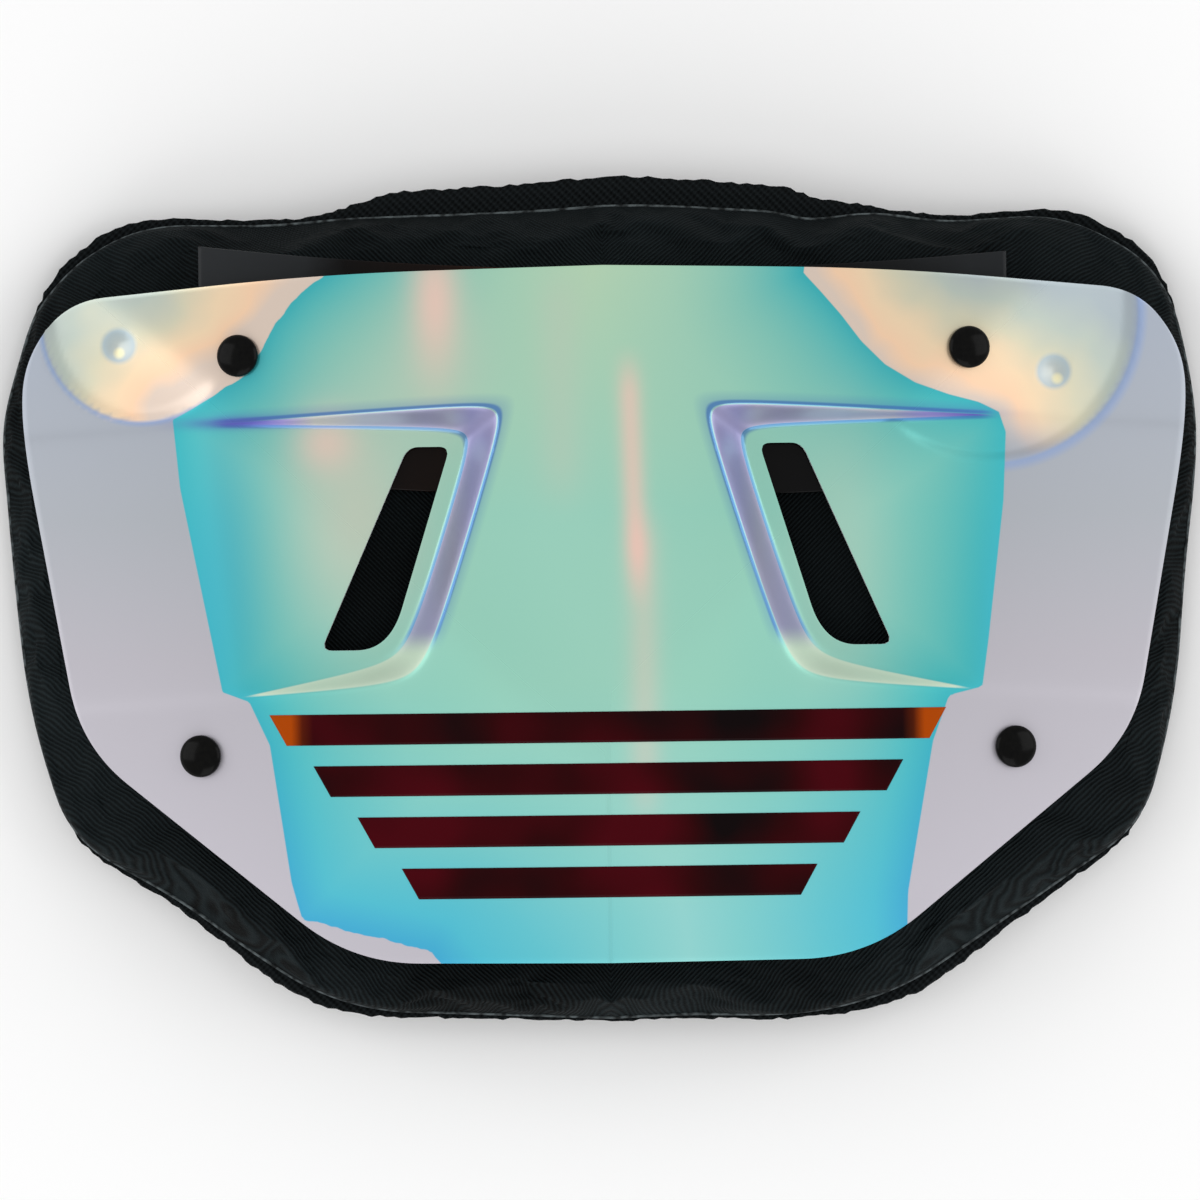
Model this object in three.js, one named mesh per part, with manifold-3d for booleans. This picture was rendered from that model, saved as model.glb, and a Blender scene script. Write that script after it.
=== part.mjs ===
// A football back plate, lying on its cushion with its face up.
// Millimetres. +X runs across the back, +Y up towards the neck, +Z out through the face.
// The origin is on the floor, under the middle of the cushion.

import * as THREE from "three";
import { mergeVertices } from "three/addons/utils/BufferGeometryUtils.js";
import Module from "manifold-3d";

const wasm = await Module();
wasm.setup();

// Clearance between two pieces that touch
const gap = 0.3;

// Plate: outline, wall and crown
const plate_width = 349;
const plate_height = 208;
const plate_wall = 2.6;
const crown_slope = 0.38; // what the crown's flanks straighten out to
const crown_radius = 277; // of the crown across its middle
const lengthwise_radius = 1400;

// Scoops: one on each side of the middle, running in from the wing to a wall
const scoop_inner = 41.5; // from the middle line to the wall's top, half way up
const scoop_margin = 59.8; // from the plate's side to where the ramp begins
const scoop_top = 59; // above the origin's line across
const scoop_height = 83;
const scoop_depth = 10;
const scoop_wall_run = 6.6; // the wall's width seen from the front
const scoop_inner_lean = 0.31;
const scoop_outer_lean = 0.11;
const scoop_edge_fall = 0.06; // the upper and lower edges fall outwards by this
const scoop_top_radius = 5.5; // of the corner between the wall and the upper edge
const scoop_bottom_radius = 9;
const scoop_foot_radius = 1.5;

// Vents: a slot through each scoop's floor, along its wall
const vent_width = 16.5;
const vent_from_wall = 13.6;
const vent_from_top = 12.5;
const vent_from_bottom = 10;
const vent_flare = 0.13;
const vent_radius = 3.4;
const vent_heel_radius = 13; // its lower inner corner

// Corner dishes and dimples, pressed into the upper corners of the plate
const dish_depth = 1.2;
const dish_wall_run = 4;
const dish_lean = 1.5; // a dish deepens this much faster downwards than outwards
const dimple_depth = 1.1;
const dimple_radius = 4.6;

// Studs: a domed cap on a stem, through the plate into the cushion
const cap_radius = 6.3;
const cap_height = 3.4;
const cap_rim = 1.1;
const stem_radius = 2.4;
const stem_bite = 7; // its length inside the cushion
const upper_stud_inset = 65.5; // from the plate's side
const upper_stud_drop = 25.6; // from the plate's top
const lower_stud_inset = 53;
const lower_stud_rise = 63; // from the plate's bottom

// Mounting band: a plastic strip between the plate and the cushion
const band_past_stud = 12; // from the middle of an upper stud to the band's end
const band_height = 68;
const band_thickness = 2;
const band_clearance = 1; // over the cushion, whose crest is soft
const band_play = 1.4; // under the plate's back
const band_rise = 6.3; // its ends stand this much higher than its middle
const band_tilt = 0.0174;
const band_hidden = 0.9; // its middle lies this far below the plate's top edge

// Cushion: a front half in twill and a back half in mesh, sewn together at the rim. It stands
// past the plate all round.
const side_border = 3.5;
const top_border = 26;
const bottom_border = 18;
const front_thickness = 14;
const back_thickness = 13;
const cushion_sink = 5.5; // how far the plate's sides press it
const front_roll = 11;
const back_roll = 10;
const crest_blend = 5;
const seam_allowance = 0.5; // the halves share one seam up to here from the nearer rim

// Outline corners, right half, from the top middle round to the bottom middle. across and
// along are shares of half the piece's width and height, and round, where the corner's curve
// begins, is a share of half its height.
const plate_corners = [
  { across: 0, along: 1, round: 0 },
  { across: 0.487, along: 0.984, round: 0.3 },
  { across: 0.92, along: 0.918, round: 0.11 },
  { across: 0.997, along: 0.745, round: 0.11 },
  { across: 1, along: 0.53, round: 0.2 },
  { across: 0.904, along: -0.365, round: 0.173 },
  { across: 0.441, along: -0.994, round: 0.192 },
  { across: 0, along: -1, round: 0 },
];
const front_corners = [
  { across: 0, along: 0.929, round: 0 },
  { across: 0.775, along: 0.905, round: 0.1 },
  { across: 0.95, along: 0.775, round: 0.17 },
  { across: 0.998, along: 0.46, round: 0.12 },
  { across: 1, along: 0.28, round: 0.15 },
  { across: 0.955, along: -0.26, round: 0.15 },
  { across: 0.9, along: -0.545, round: 0.11 },
  { across: 0.455, along: -0.965, round: 0.17 },
  { across: 0, along: -0.992, round: 0 },
];
const back_corners = [
  { across: 0, along: 1, round: 0 },
  { across: 0.36, along: 0.978, round: 0.13 },
  { across: 0.47, along: 0.925, round: 0.07 },
  { across: 0.8, along: 0.925, round: 0.1 },
  { across: 0.955, along: 0.79, round: 0.16 },
  { across: 0.98, along: 0.5, round: 0.15 },
  { across: 0.97, along: 0.1, round: 0.1 },
  { across: 0.9, along: -0.555, round: 0.1 },
  { across: 0.48, along: -0.98, round: 0.15 },
  { across: 0, along: -1, round: 0 },
];

// Corner dishes, one a row: the middle and the radius, as shares of half the plate's height.
// inset and drop are measured from the plate's side and top.
const dishes = [
  { side: -1, inset: 0.35, drop: 0.144, radius: 0.291, dimple_inset: 0.284, dimple_drop: 0.212 },
  { side: 1, inset: 0.572, drop: 0.144, radius: 0.437, dimple_inset: 0.384, dimple_drop: 0.317 },
];

// The grid that carries the plate: lines across as shares of half its width, closest at the
// scoops' walls, and lines along as shares of half its height about its middle
const plate_columns = [
  0, 0.08, 0.15, 0.19, 0.205, 0.222, 0.24, 0.262, 0.29, 0.34, 0.41, 0.49, 0.58, 0.65, 0.69, 0.75,
  0.82, 0.9, 1.03,
];
const plate_rows = [
  -1.03, -0.92, -0.8, -0.68, -0.55, -0.42, -0.32, -0.26, -0.225, -0.19, -0.15, -0.1, -0.02, 0.1,
  0.22, 0.33, 0.42, 0.47, 0.505, 0.535, 0.565, 0.6, 0.64, 0.7, 0.78, 0.87, 0.95, 1.03,
];
const band_columns = 22;
const band_rows = 3;

// The cushion's rings: how far in from the rim, as shares of the roll, and then as shares of
// the core that both halves have in common
const roll_rings = [0.08, 0.35, 1];
const core_rings = [1, 0.8, 0.6, 0.4, 0.2];
const cushion_rays = 72;
const corner_steps = 5;
const longest_corner = 0.48; // a corner's curve takes at most this share of a side
const stud_segments = 16;
const dome_steps = 4;

const half_plate = plate_width / 2;
const half_plate_height = plate_height / 2;
const half_cushion = half_plate + side_border;
const half_cushion_height = half_plate_height + (top_border + bottom_border) / 2;
const plate_lowered = (top_border - bottom_border) / 2; // below the cushion's middle
const crown_turn = crown_slope ** 2 * crown_radius;
const plate_top = half_plate_height - plate_lowered;
const plate_bottom = -half_plate_height - plate_lowered;
const cushion_thickness = front_thickness + back_thickness;
const scoop_middle = scoop_top - scoop_height / 2;
const scoop_outer = half_plate - scoop_margin;

const clamp = THREE.MathUtils.clamp;
const smoothstep = THREE.MathUtils.smoothstep;

// The smaller of two lengths, with the corner between them rounded
function softMin(a, b, blend) {
  return (a + b - Math.hypot(a - b, blend)) / 2;
}

// How far the crown has fallen from its peak
function crownDrop(x, y) {
  const sideways = Math.hypot(crown_turn, crown_slope * x) - crown_turn;
  const lengthwise = (y * y) / (2 * lengthwise_radius);
  return sideways + lengthwise;
}

const plate_peak = cushion_thickness - cushion_sink + crownDrop(half_plate, 0) + plate_wall;

// The edges of a scoop, for the side where x is positive
const scoopInnerEdge = (y) => scoop_inner - scoop_inner_lean * (y - scoop_middle);
const scoopOuterEdge = (y) => scoop_outer + scoop_outer_lean * (y - scoop_middle);
const scoopUpperEdge = (x) => scoop_top - scoop_edge_fall * (x - scoop_inner);
const scoopLowerEdge = (x) => scoopUpperEdge(x) - scoop_height;

// A scoop is as deep as its ramp, or as its walls allow
function scoopDepth(x, y) {
  const across = Math.abs(x);
  const from_inner = (across - scoopInnerEdge(y)) / Math.hypot(1, scoop_inner_lean);
  const from_top = scoopUpperEdge(across) - y;
  const from_bottom = y - scoopLowerEdge(across);
  const from_upper = softMin(from_inner, from_top, scoop_top_radius);
  const inside = softMin(from_upper, from_bottom, scoop_bottom_radius);
  const foot = scoopInnerEdge(y) + scoop_wall_run;
  const ramp = (scoopOuterEdge(y) - across) / (scoopOuterEdge(y) - foot);
  const floor = scoop_depth * clamp(ramp, 0, 1);
  const wall = (inside * scoop_depth) / scoop_wall_run;
  return Math.max(0, softMin(floor, wall, scoop_foot_radius));
}

// A dish is deepest at its lower outer side and runs out towards the middle of the plate
function dishDepth(x, y) {
  let depth = 0;
  for (const dish of dishes) {
    const middle_x = dish.side * (half_plate - dish.inset * half_plate_height);
    const middle_y = plate_top - dish.drop * half_plate_height;
    const radius = dish.radius * half_plate_height;
    const inside = radius - Math.hypot(x - middle_x, y - middle_y);
    const outward = dish.side * (x - middle_x) - dish_lean * (y - middle_y);
    const share = clamp(0.5 + outward / (radius * Math.hypot(1, dish_lean)), 0, 1);
    depth += dish_depth * share * smoothstep(inside, 0, dish_wall_run);
    const dimple_x = dish.side * (half_plate - dish.dimple_inset * half_plate_height);
    const dimple_y = plate_top - dish.dimple_drop * half_plate_height;
    const away = Math.hypot(x - dimple_x, y - dimple_y) / dimple_radius;
    depth += dimple_depth * Math.max(0, 1 - away * away) ** 2;
  }
  return depth;
}

const crownTop = (x, y) => plate_peak - crownDrop(x, y);
const plateTop = (x, y) => crownTop(x, y) - scoopDepth(x, y) - dishDepth(x, y);
const plateBack = (x, y) => plateTop(x, y) - plate_wall;

// The lowest place under the scoops' deep ends, below which the band and the crest pass
function lowestScoop() {
  let lowest = plate_peak;
  for (const column of plate_columns) {
    const x = column * half_plate;
    for (const row of plate_rows) {
      const depth = scoopDepth(x, row * half_plate_height - plate_lowered);
      const level = plate_peak - crownDrop(x, 0) - depth - plate_wall;
      if (depth > scoop_depth / 2) lowest = Math.min(lowest, level);
    }
  }
  return lowest;
}

const band_stack = band_thickness + band_clearance + band_play;
const crest = lowestScoop() - band_stack;

// The cushion's front follows the plate's back, and is flatter under the scoops
function cushionTop(x, y) {
  const under_plate = plate_peak - crownDrop(x, 0) - plate_wall - band_stack;
  return softMin(crest, under_plate, crest_blend) - crownDrop(0, y);
}
const cushionBottom = (x, y) => Math.max(0, cushionTop(x, y) - cushion_thickness);
function cushionMiddle(x, y) {
  return THREE.MathUtils.lerp(cushionBottom(x, y), cushionTop(x, y), back_thickness / cushion_thickness);
}
const bandBottom = (x, y) => cushionTop(x, y) + band_clearance;

// The whole ring of corners, from the right half's shares
function fullOutline(corners, half_width, half_height, middle_y) {
  const right = corners.map((corner) => ({
    x: corner.across * half_width,
    y: middle_y + corner.along * half_height,
    round: corner.round * half_height,
  }));
  const left = right
    .filter((corner) => corner.x > 0)
    .map((corner) => ({ ...corner, x: -corner.x }))
    .reverse();
  return roundedOutline([...right, ...left]);
}

// A closed outline whose corners are curves
function roundedOutline(corners) {
  const points = [];
  corners.forEach((corner, i) => {
    const here = new THREE.Vector2(corner.x, corner.y);
    const before = corners.at(i - 1);
    const after = corners[(i + 1) % corners.length];
    if (corner.round === 0) {
      points.push(here);
      return;
    }
    const [start, end] = [before, after].map((other) => {
      const away = new THREE.Vector2(other.x, other.y).sub(here);
      const reach = Math.min(corner.round, longest_corner * away.length());
      return away.setLength(reach).add(here);
    });
    points.push(...new THREE.QuadraticBezierCurve(start, here, end).getPoints(corner_steps));
  });
  return points;
}

function geometryOf(positions, triangles) {
  const geometry = new THREE.BufferGeometry();
  geometry.setAttribute("position", new THREE.Float32BufferAttribute(positions, 3));
  geometry.setIndex(triangles);
  return geometry;
}

// A solid between two height surfaces over a grid of columns and rows
function gridSolid(columns, rows, place, top, bottom) {
  const positions = [];
  const triangles = [];
  const across = columns.length;
  const layer = across * rows.length;
  for (const surface of [top, bottom]) {
    for (const row of rows) {
      for (const column of columns) {
        const [x, y] = place(column, row);
        positions.push(x, y, surface(x, y));
      }
    }
  }
  const quad = (a, b, c, d) => triangles.push(a, b, c, a, c, d);
  for (let r = 0; r + 1 < rows.length; r++) {
    for (let c = 0; c + 1 < across; c++) {
      const i = r * across + c;
      quad(i, i + 1, i + across + 1, i + across);
      const j = i + layer;
      quad(j + across, j + across + 1, j + 1, j);
    }
  }
  for (let c = 0; c + 1 < across; c++) {
    const far = (rows.length - 1) * across + c;
    quad(c + layer, c + layer + 1, c + 1, c);
    quad(far, far + 1, far + layer + 1, far + layer);
  }
  for (let r = 0; r + 1 < rows.length; r++) {
    const left = r * across;
    const right = left + across - 1;
    quad(left, left + across, left + across + layer, left + layer);
    quad(right + layer, right + across + layer, right + across, right);
  }
  return geometryOf(positions, triangles);
}

// A solid from closed rings of points, from the point on one face to the point on the other.
// turned says that the rings come from below, and keeps each diagonal where it was from above.
function ringSolid(first, rings, last, turned) {
  const positions = [...first, ...rings.flat(2), ...last];
  const triangles = [];
  const around = rings[0].length;
  const end = 1 + rings.length * around;
  for (let i = 0; i < around; i++) {
    const next = (i + 1) % around;
    const [here, there] = turned ? [next, i] : [i, next];
    const facing = (a, b, c) => triangles.push(...(turned ? [a, c, b] : [a, b, c]));
    triangles.push(0, 1 + i, 1 + next);
    for (let r = 0; r + 1 < rings.length; r++) {
      const inner = 1 + r * around;
      const outer = inner + around;
      facing(inner + here, outer + here, outer + there);
      facing(inner + here, outer + there, inner + there);
    }
    const edge = end - around;
    triangles.push(edge + i, end, edge + next);
  }
  return geometryOf(positions, triangles);
}

function toManifold(geometry) {
  const bare = geometry.clone();
  bare.deleteAttribute("normal");
  bare.deleteAttribute("uv");
  const merged = mergeVertices(bare, 1e-4);
  return new wasm.Manifold(
    new wasm.Mesh({
      numProp: 3,
      vertProperties: Float32Array.from(merged.attributes.position.array),
      triVerts: Uint32Array.from(merged.index.array),
    }),
  );
}

function fromManifold(solid) {
  const mesh = solid.getMesh();
  return geometryOf(Array.from(mesh.vertProperties), Array.from(mesh.triVerts));
}

// An upright prism over an outline, tall enough to pass through every piece
function prism(outline) {
  const depth = 4 * plate_peak;
  const geometry = new THREE.ExtrudeGeometry(new THREE.Shape(outline), {
    depth,
    bevelEnabled: false,
  });
  return toManifold(geometry.translate(0, 0, -depth / 2));
}

// Where the studs stand on the crown, and which way they point
const stud_places = [
  { name: "upper", x: half_plate - upper_stud_inset, y: plate_top - upper_stud_drop, on_band: true },
  { name: "lower", x: half_plate - lower_stud_inset, y: plate_bottom + lower_stud_rise },
].flatMap((place) => [
  { ...place, name: `${place.name}_left`, x: -place.x },
  { ...place, name: `${place.name}_right` },
]);

function studFrame(place) {
  const step = cap_radius;
  const along_x = (crownTop(place.x + step, place.y) - crownTop(place.x - step, place.y)) / (2 * step);
  const along_y = (crownTop(place.x, place.y + step) - crownTop(place.x, place.y - step)) / (2 * step);
  const normal = new THREE.Vector3(-along_x, -along_y, 1).normalize();
  const turn = new THREE.Quaternion().setFromUnitVectors(new THREE.Vector3(0, 0, 1), normal);
  const foot = new THREE.Vector3(place.x, place.y, crownTop(place.x, place.y));
  return { turn, foot };
}

// From the plate's face down to the end of the stem
const cushion_under_face = plate_wall + band_stack;
const stem_length = cushion_under_face + stem_bite + crest_blend / 2;

// A round bar along a stud's axis, for the holes that its stem passes through
function stemHole(place) {
  const { turn, foot } = studFrame(place);
  const above = cap_height;
  const length = above + stem_length + gap;
  const bar = new THREE.CylinderGeometry(
    stem_radius + gap,
    stem_radius + gap,
    length,
    stud_segments,
  );
  bar.rotateX(Math.PI / 2).translate(0, 0, above - length / 2);
  bar.applyQuaternion(turn).translate(foot.x, foot.y, foot.z);
  return toManifold(bar);
}

function withStemHoles(solid, places) {
  return places.reduce((left, place) => left.subtract(stemHole(place)), solid);
}

// The slot through a scoop's floor, on the side where x is positive
function ventOutline(side) {
  const top = scoop_top - vent_from_top;
  const bottom = scoop_top - scoop_height + vent_from_bottom;
  const inner = (y) => scoopInnerEdge(y) + vent_from_wall;
  const outer = (y) => inner(y) + vent_width - vent_flare * (y - scoop_middle);
  return roundedOutline([
    { x: side * inner(top), y: top, round: vent_radius },
    { x: side * outer(top), y: top, round: vent_radius },
    { x: side * outer(bottom), y: bottom, round: vent_radius },
    { x: side * inner(bottom), y: bottom, round: vent_heel_radius },
  ]);
}

// The grid's columns lean with the scoops' inner and outer edges
function platePlace(column, row) {
  const y = row * half_plate_height - plate_lowered;
  const reference = Math.abs(column) * half_plate;
  const within = clamp(y - scoop_middle, -scoop_height / 2, scoop_height / 2);
  const towards_inner = clamp(reference / scoop_inner, 0, 1);
  const past_inner = clamp((reference - scoop_inner) / (scoop_outer - scoop_inner), 0, 1);
  const past_outer = clamp((reference - scoop_outer) / (half_plate - scoop_outer), 0, 1);
  const inner_share = towards_inner * (1 - past_inner);
  const outer_share = past_inner * (1 - past_outer);
  const lean = outer_share * scoop_outer_lean - inner_share * scoop_inner_lean;
  return [Math.sign(column) * (reference + lean * within), y];
}

function plateShell() {
  const columns = [...plate_columns.slice(1).reverse().map((share) => -share), ...plate_columns];
  const sheet = gridSolid(columns, plate_rows, platePlace, plateTop, plateBack);
  const outline = fullOutline(plate_corners, half_plate, half_plate_height, -plate_lowered);
  const whole = toManifold(sheet).intersect(prism(outline));
  const vented = whole.subtract(prism(ventOutline(1))).subtract(prism(ventOutline(-1)));
  return fromManifold(withStemHoles(vented, stud_places));
}

function mountingBand() {
  const half_length = half_plate - upper_stud_inset + band_past_stud;
  const top_edge = (x) => {
    const smile = band_rise * (x / half_length) ** 2;
    return plate_top - band_hidden + smile - band_tilt * x;
  };
  const columns = Array.from({ length: band_columns + 1 }, (_, i) => (2 * i) / band_columns - 1);
  const rows = Array.from({ length: band_rows + 1 }, (_, i) => i / band_rows - 1);
  const place = (column, row) => {
    const x = column * half_length;
    return [x, top_edge(x) + row * band_height];
  };
  const bandTop = (x, y) => bandBottom(x, y) + band_thickness;
  const strip = toManifold(gridSolid(columns, rows, place, bandTop, bandBottom));
  return fromManifold(withStemHoles(strip, stud_places.filter((place) => place.on_band)));
}

// How far a ray from the middle runs before it meets an outline
function reachOf(outline, direction) {
  let reach = 0;
  outline.forEach((start, i) => {
    const end = outline[(i + 1) % outline.length];
    const edge = end.clone().sub(start);
    const across = direction.cross(edge);
    if (Math.abs(across) < 1e-9) return;
    const along_edge = start.cross(direction) / across;
    const along_ray = start.cross(edge) / across;
    if (along_edge >= 0 && along_edge <= 1) reach = Math.max(reach, along_ray);
  });
  return reach;
}

const front_outline = fullOutline(front_corners, half_cushion, half_cushion_height, 0);
const back_outline = fullOutline(back_corners, half_cushion, half_cushion_height, 0);
const rays = new THREE.Path([...front_outline, front_outline[0]])
  .getSpacedPoints(cushion_rays)
  .slice(0, cushion_rays)
  .reverse()
  .map((point) => {
    const direction = point.clone().normalize();
    const front = reachOf(front_outline, direction);
    const back = reachOf(back_outline, direction);
    const shared = Math.min(front, back) - seam_allowance;
    return { direction, front, back, shared, core: shared - Math.max(front_roll, back_roll) };
  });

// A half of the cushion: a rolled face that ends in the seam, and a side that lies on the other
// half. The rings inside the roll are the same for both, so that the halves fit.
function cushionHalf(side, roll, face, seam) {
  const point = (ray, reach, height) => {
    const x = ray.direction.x * reach;
    const y = ray.direction.y * reach;
    return [x, y, height(x, y)];
  };
  const faceRing = (share) =>
    rays.map((ray) => {
      const fullness = Math.sqrt(1 - (1 - share) ** 2);
      const height = (x, y) => THREE.MathUtils.lerp(seam(x, y), face(x, y), fullness);
      return point(ray, ray[side] - share * roll, height);
    });
  const coreRing = (share, height) => rays.map((ray) => point(ray, ray.core * share, height));
  const face_rings = [...core_rings].reverse().map((share) => coreRing(share, face));
  const roll_part = [...roll_rings].reverse().map((share) => faceRing(share));
  const rim = faceRing(0);
  const shared_ring = rays.map((ray) => point(ray, ray.shared, seam));
  const seam_rings = [shared_ring, ...core_rings.map((share) => coreRing(share, seam))];
  const rings = [...face_rings, ...roll_part, rim, ...seam_rings];
  const poles = [face, seam].map((height) => [0, 0, height(0, 0)]);
  const turned = face(0, 0) < seam(0, 0);
  if (turned) return ringSolid(poles[1], rings.reverse(), poles[0], turned);
  return ringSolid(poles[0], rings, poles[1], turned);
}

function cushionFront() {
  const seam = (x, y) => cushionMiddle(x, y) + gap / 2;
  const whole = toManifold(cushionHalf("front", front_roll, cushionTop, seam));
  return fromManifold(withStemHoles(whole, stud_places));
}

function cushionBack() {
  const seam = (x, y) => cushionMiddle(x, y) - gap / 2;
  return cushionHalf("back", back_roll, cushionBottom, seam);
}

// A stud, turned about its own axis, with its cap's underside at the origin
function studShape() {
  const profile = [new THREE.Vector2(0, -stem_length), new THREE.Vector2(stem_radius, -stem_length)];
  profile.push(new THREE.Vector2(stem_radius, 0), new THREE.Vector2(cap_radius, 0));
  for (let i = 0; i <= dome_steps; i++) {
    const angle = (i / dome_steps) * (Math.PI / 2);
    const radius = i === dome_steps ? 0 : cap_radius * Math.cos(angle);
    const height = cap_rim + (cap_height - cap_rim) * Math.sin(angle);
    profile.push(new THREE.Vector2(radius, height));
  }
  return new THREE.LatheGeometry(profile, stud_segments).rotateX(Math.PI / 2);
}

const finishes = {
  shell: { color: 0x8fc6bd, roughness: 0.12, metalness: 0.6 },
  mount_band: { color: 0x0c0b0b, roughness: 0.1, metalness: 0 },
  cushion_front: { color: 0x121516, roughness: 0.85, metalness: 0 },
  cushion_back: { color: 0x0b0c0d, roughness: 0.95, metalness: 0 },
  stud: { color: 0x121210, roughness: 0.25, metalness: 0 },
};

function piece(name, geometry, finish = name) {
  geometry.computeVertexNormals();
  const mesh = new THREE.Mesh(geometry, new THREE.MeshStandardMaterial(finishes[finish]));
  mesh.name = name;
  return mesh;
}

const back_plate = new THREE.Group();
back_plate.add(piece("cushion_back", cushionBack()));
back_plate.add(piece("cushion_front", cushionFront()));
back_plate.add(piece("mount_band", mountingBand()));
back_plate.add(piece("shell", plateShell()));
for (const place of stud_places) {
  const { turn, foot } = studFrame(place);
  const stud = piece(`stud_${place.name}`, studShape(), "stud");
  stud.quaternion.copy(turn);
  stud.position.copy(foot).add(new THREE.Vector3(0, 0, gap).applyQuaternion(turn));
  back_plate.add(stud);
}

export default back_plate;
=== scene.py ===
# A football back plate on its cushion, lying on a pale floor with its face up.
# Sizes are worked out in millimetres and go into the meshes in metres.
import math

import bpy
import numpy as np
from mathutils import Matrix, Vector


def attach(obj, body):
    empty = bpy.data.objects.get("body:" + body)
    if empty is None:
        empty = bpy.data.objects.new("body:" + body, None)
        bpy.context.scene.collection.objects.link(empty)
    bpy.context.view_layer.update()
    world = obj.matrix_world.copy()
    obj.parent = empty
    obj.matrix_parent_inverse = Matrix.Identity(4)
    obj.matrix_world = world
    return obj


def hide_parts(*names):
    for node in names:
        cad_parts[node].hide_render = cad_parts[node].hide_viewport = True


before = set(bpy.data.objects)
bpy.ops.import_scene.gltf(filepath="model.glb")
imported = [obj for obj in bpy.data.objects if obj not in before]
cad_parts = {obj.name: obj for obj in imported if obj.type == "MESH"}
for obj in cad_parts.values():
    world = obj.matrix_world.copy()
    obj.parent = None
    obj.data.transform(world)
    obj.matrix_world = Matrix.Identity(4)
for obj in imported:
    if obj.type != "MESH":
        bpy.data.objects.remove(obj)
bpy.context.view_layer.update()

MM = 0.001

# ---------------------------------------------------------------- camera
# The photograph looks straight down on the face from far off, so that heights hardly spread
# the outline, and is turned by less than a degree.
CAMERA_HEIGHT = 6000
PICTURE_WIDTH = 360
REFERENCE_HEIGHT = 16
SENSOR = 36
AIM = (-1.9, 0.2)
CAMERA_TURN = -0.7

camera_data = bpy.data.cameras.new("camera")
camera_data.sensor_width = SENSOR
camera_data.lens = SENSOR * (CAMERA_HEIGHT - REFERENCE_HEIGHT) / PICTURE_WIDTH
camera = bpy.data.objects.new("camera", camera_data)
camera.location = (AIM[0] * MM, AIM[1] * MM, CAMERA_HEIGHT * MM)
camera.rotation_euler = (0, 0, math.radians(CAMERA_TURN))
bpy.context.scene.collection.objects.link(camera)
bpy.context.scene.camera = camera


# ---------------------------------------------------------------- cushion, back half
# The half that lies on the player's back: foam in a black spacer mesh, knitted in coarse
# diagonal ribs. It is sewn to the front half at the rim and shows past it at the top middle,
# at the corners and along the bottom.
PLATE_SIZE = (349, 208)
PLATE_WALL = 2.6
PLATE_LOWERED = 4
BORDER = 3.5
HALF_PLATE = PLATE_SIZE[0] / 2
HALF_HEIGHT = PLATE_SIZE[1] / 2
HALF_CUSHION = HALF_PLATE + BORDER
HALF_CUSHION_HEIGHT = 126
CUSHION_THICKNESS = 27
BACK_THICKNESS = 13
CROWN_SLOPE = 0.38
CROWN_TURN = CROWN_SLOPE**2 * 277
LENGTHWISE_RADIUS = 1400
PEAK = 61.5
CREST = 38.4
BAND_STACK = 4.4
CREST_BLEND = 5
LONGEST_CORNER = 0.48
CORNER_STEPS = 14
OUTLINE_POINTS = 6000

# Outline corners of the right half: across and along as shares of half the width and height,
# and where the corner's curve begins, as a share of half the height
FRONT_CORNERS = [
    (0, 0.929, 0), (0.775, 0.905, 0.1), (0.95, 0.775, 0.17), (0.998, 0.46, 0.12), (1, 0.28, 0.15),
    (0.955, -0.26, 0.15), (0.9, -0.545, 0.11), (0.455, -0.965, 0.17), (0, -0.992, 0),
]
BACK_CORNERS = [
    (0, 1, 0), (0.36, 0.978, 0.13), (0.47, 0.925, 0.07), (0.8, 0.925, 0.1), (0.955, 0.79, 0.16),
    (0.98, 0.5, 0.15), (0.97, 0.1, 0.1), (0.9, -0.555, 0.1), (0.48, -0.98, 0.15), (0, -1, 0),
]


def smooth_share(value, low, high):
    """From 0 at low to 1 at high, with level ends."""
    t = np.clip((value - low) / (high - low), 0, 1)
    return t * t * (3 - 2 * t)


def bell(x, y, middle, spread):
    """A soft patch: a Gaussian with its own spread each way."""
    return np.exp(-(((x - middle[0]) / spread[0]) ** 2) - ((y - middle[1]) / spread[1]) ** 2)


def soft_min(a, b, blend):
    """The smaller of two lengths: half of their sum less the hypotenuse of their difference."""
    return (a + b - np.hypot(a - b, blend)) / 2


def soft_max(a, b, blend):
    """The larger of two lengths, with the corner between them rounded."""
    return (a + b + np.hypot(a - b, blend)) / 2


def crown_drop(x, y):
    """How far the crown has fallen: a hyperbola across, and a parabola along."""
    return np.hypot(CROWN_TURN, CROWN_SLOPE * x) - CROWN_TURN + y * y / (2 * LENGTHWISE_RADIUS)


def cushion_top(x, y):
    """The front face of the cushion: under the plate's back, and lower under the scoops."""
    under_plate = PEAK - crown_drop(x, 0) - PLATE_WALL - BAND_STACK
    return soft_min(CREST + 0.15, under_plate, CREST_BLEND) - crown_drop(0, y)


def cushion_bottom(x, y):
    """The back face: one thickness below the front, and flat where it lies on the floor."""
    return np.maximum(0, cushion_top(x, y) - CUSHION_THICKNESS)


def cushion_middle(x, y):
    """Where the two halves meet, at the same share of the thickness everywhere."""
    low, high = cushion_bottom(x, y), cushion_top(x, y)
    return low + (high - low) * BACK_THICKNESS / CUSHION_THICKNESS


def corner_curve(ring, i, steps):
    """A corner's quadratic curve, from one of its sides to the other."""
    here = np.array(ring[i][:2])
    ends = []
    for other in (ring[i - 1], ring[(i + 1) % len(ring)]):
        away = np.array(other[:2]) - here
        length = np.hypot(*away)
        ends.append(here + away / length * min(ring[i][2], LONGEST_CORNER * length))
    t = np.linspace(0, 1, steps)[:, None]
    return (1 - t) ** 2 * ends[0] + 2 * t * (1 - t) * here + t**2 * ends[1]


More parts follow.
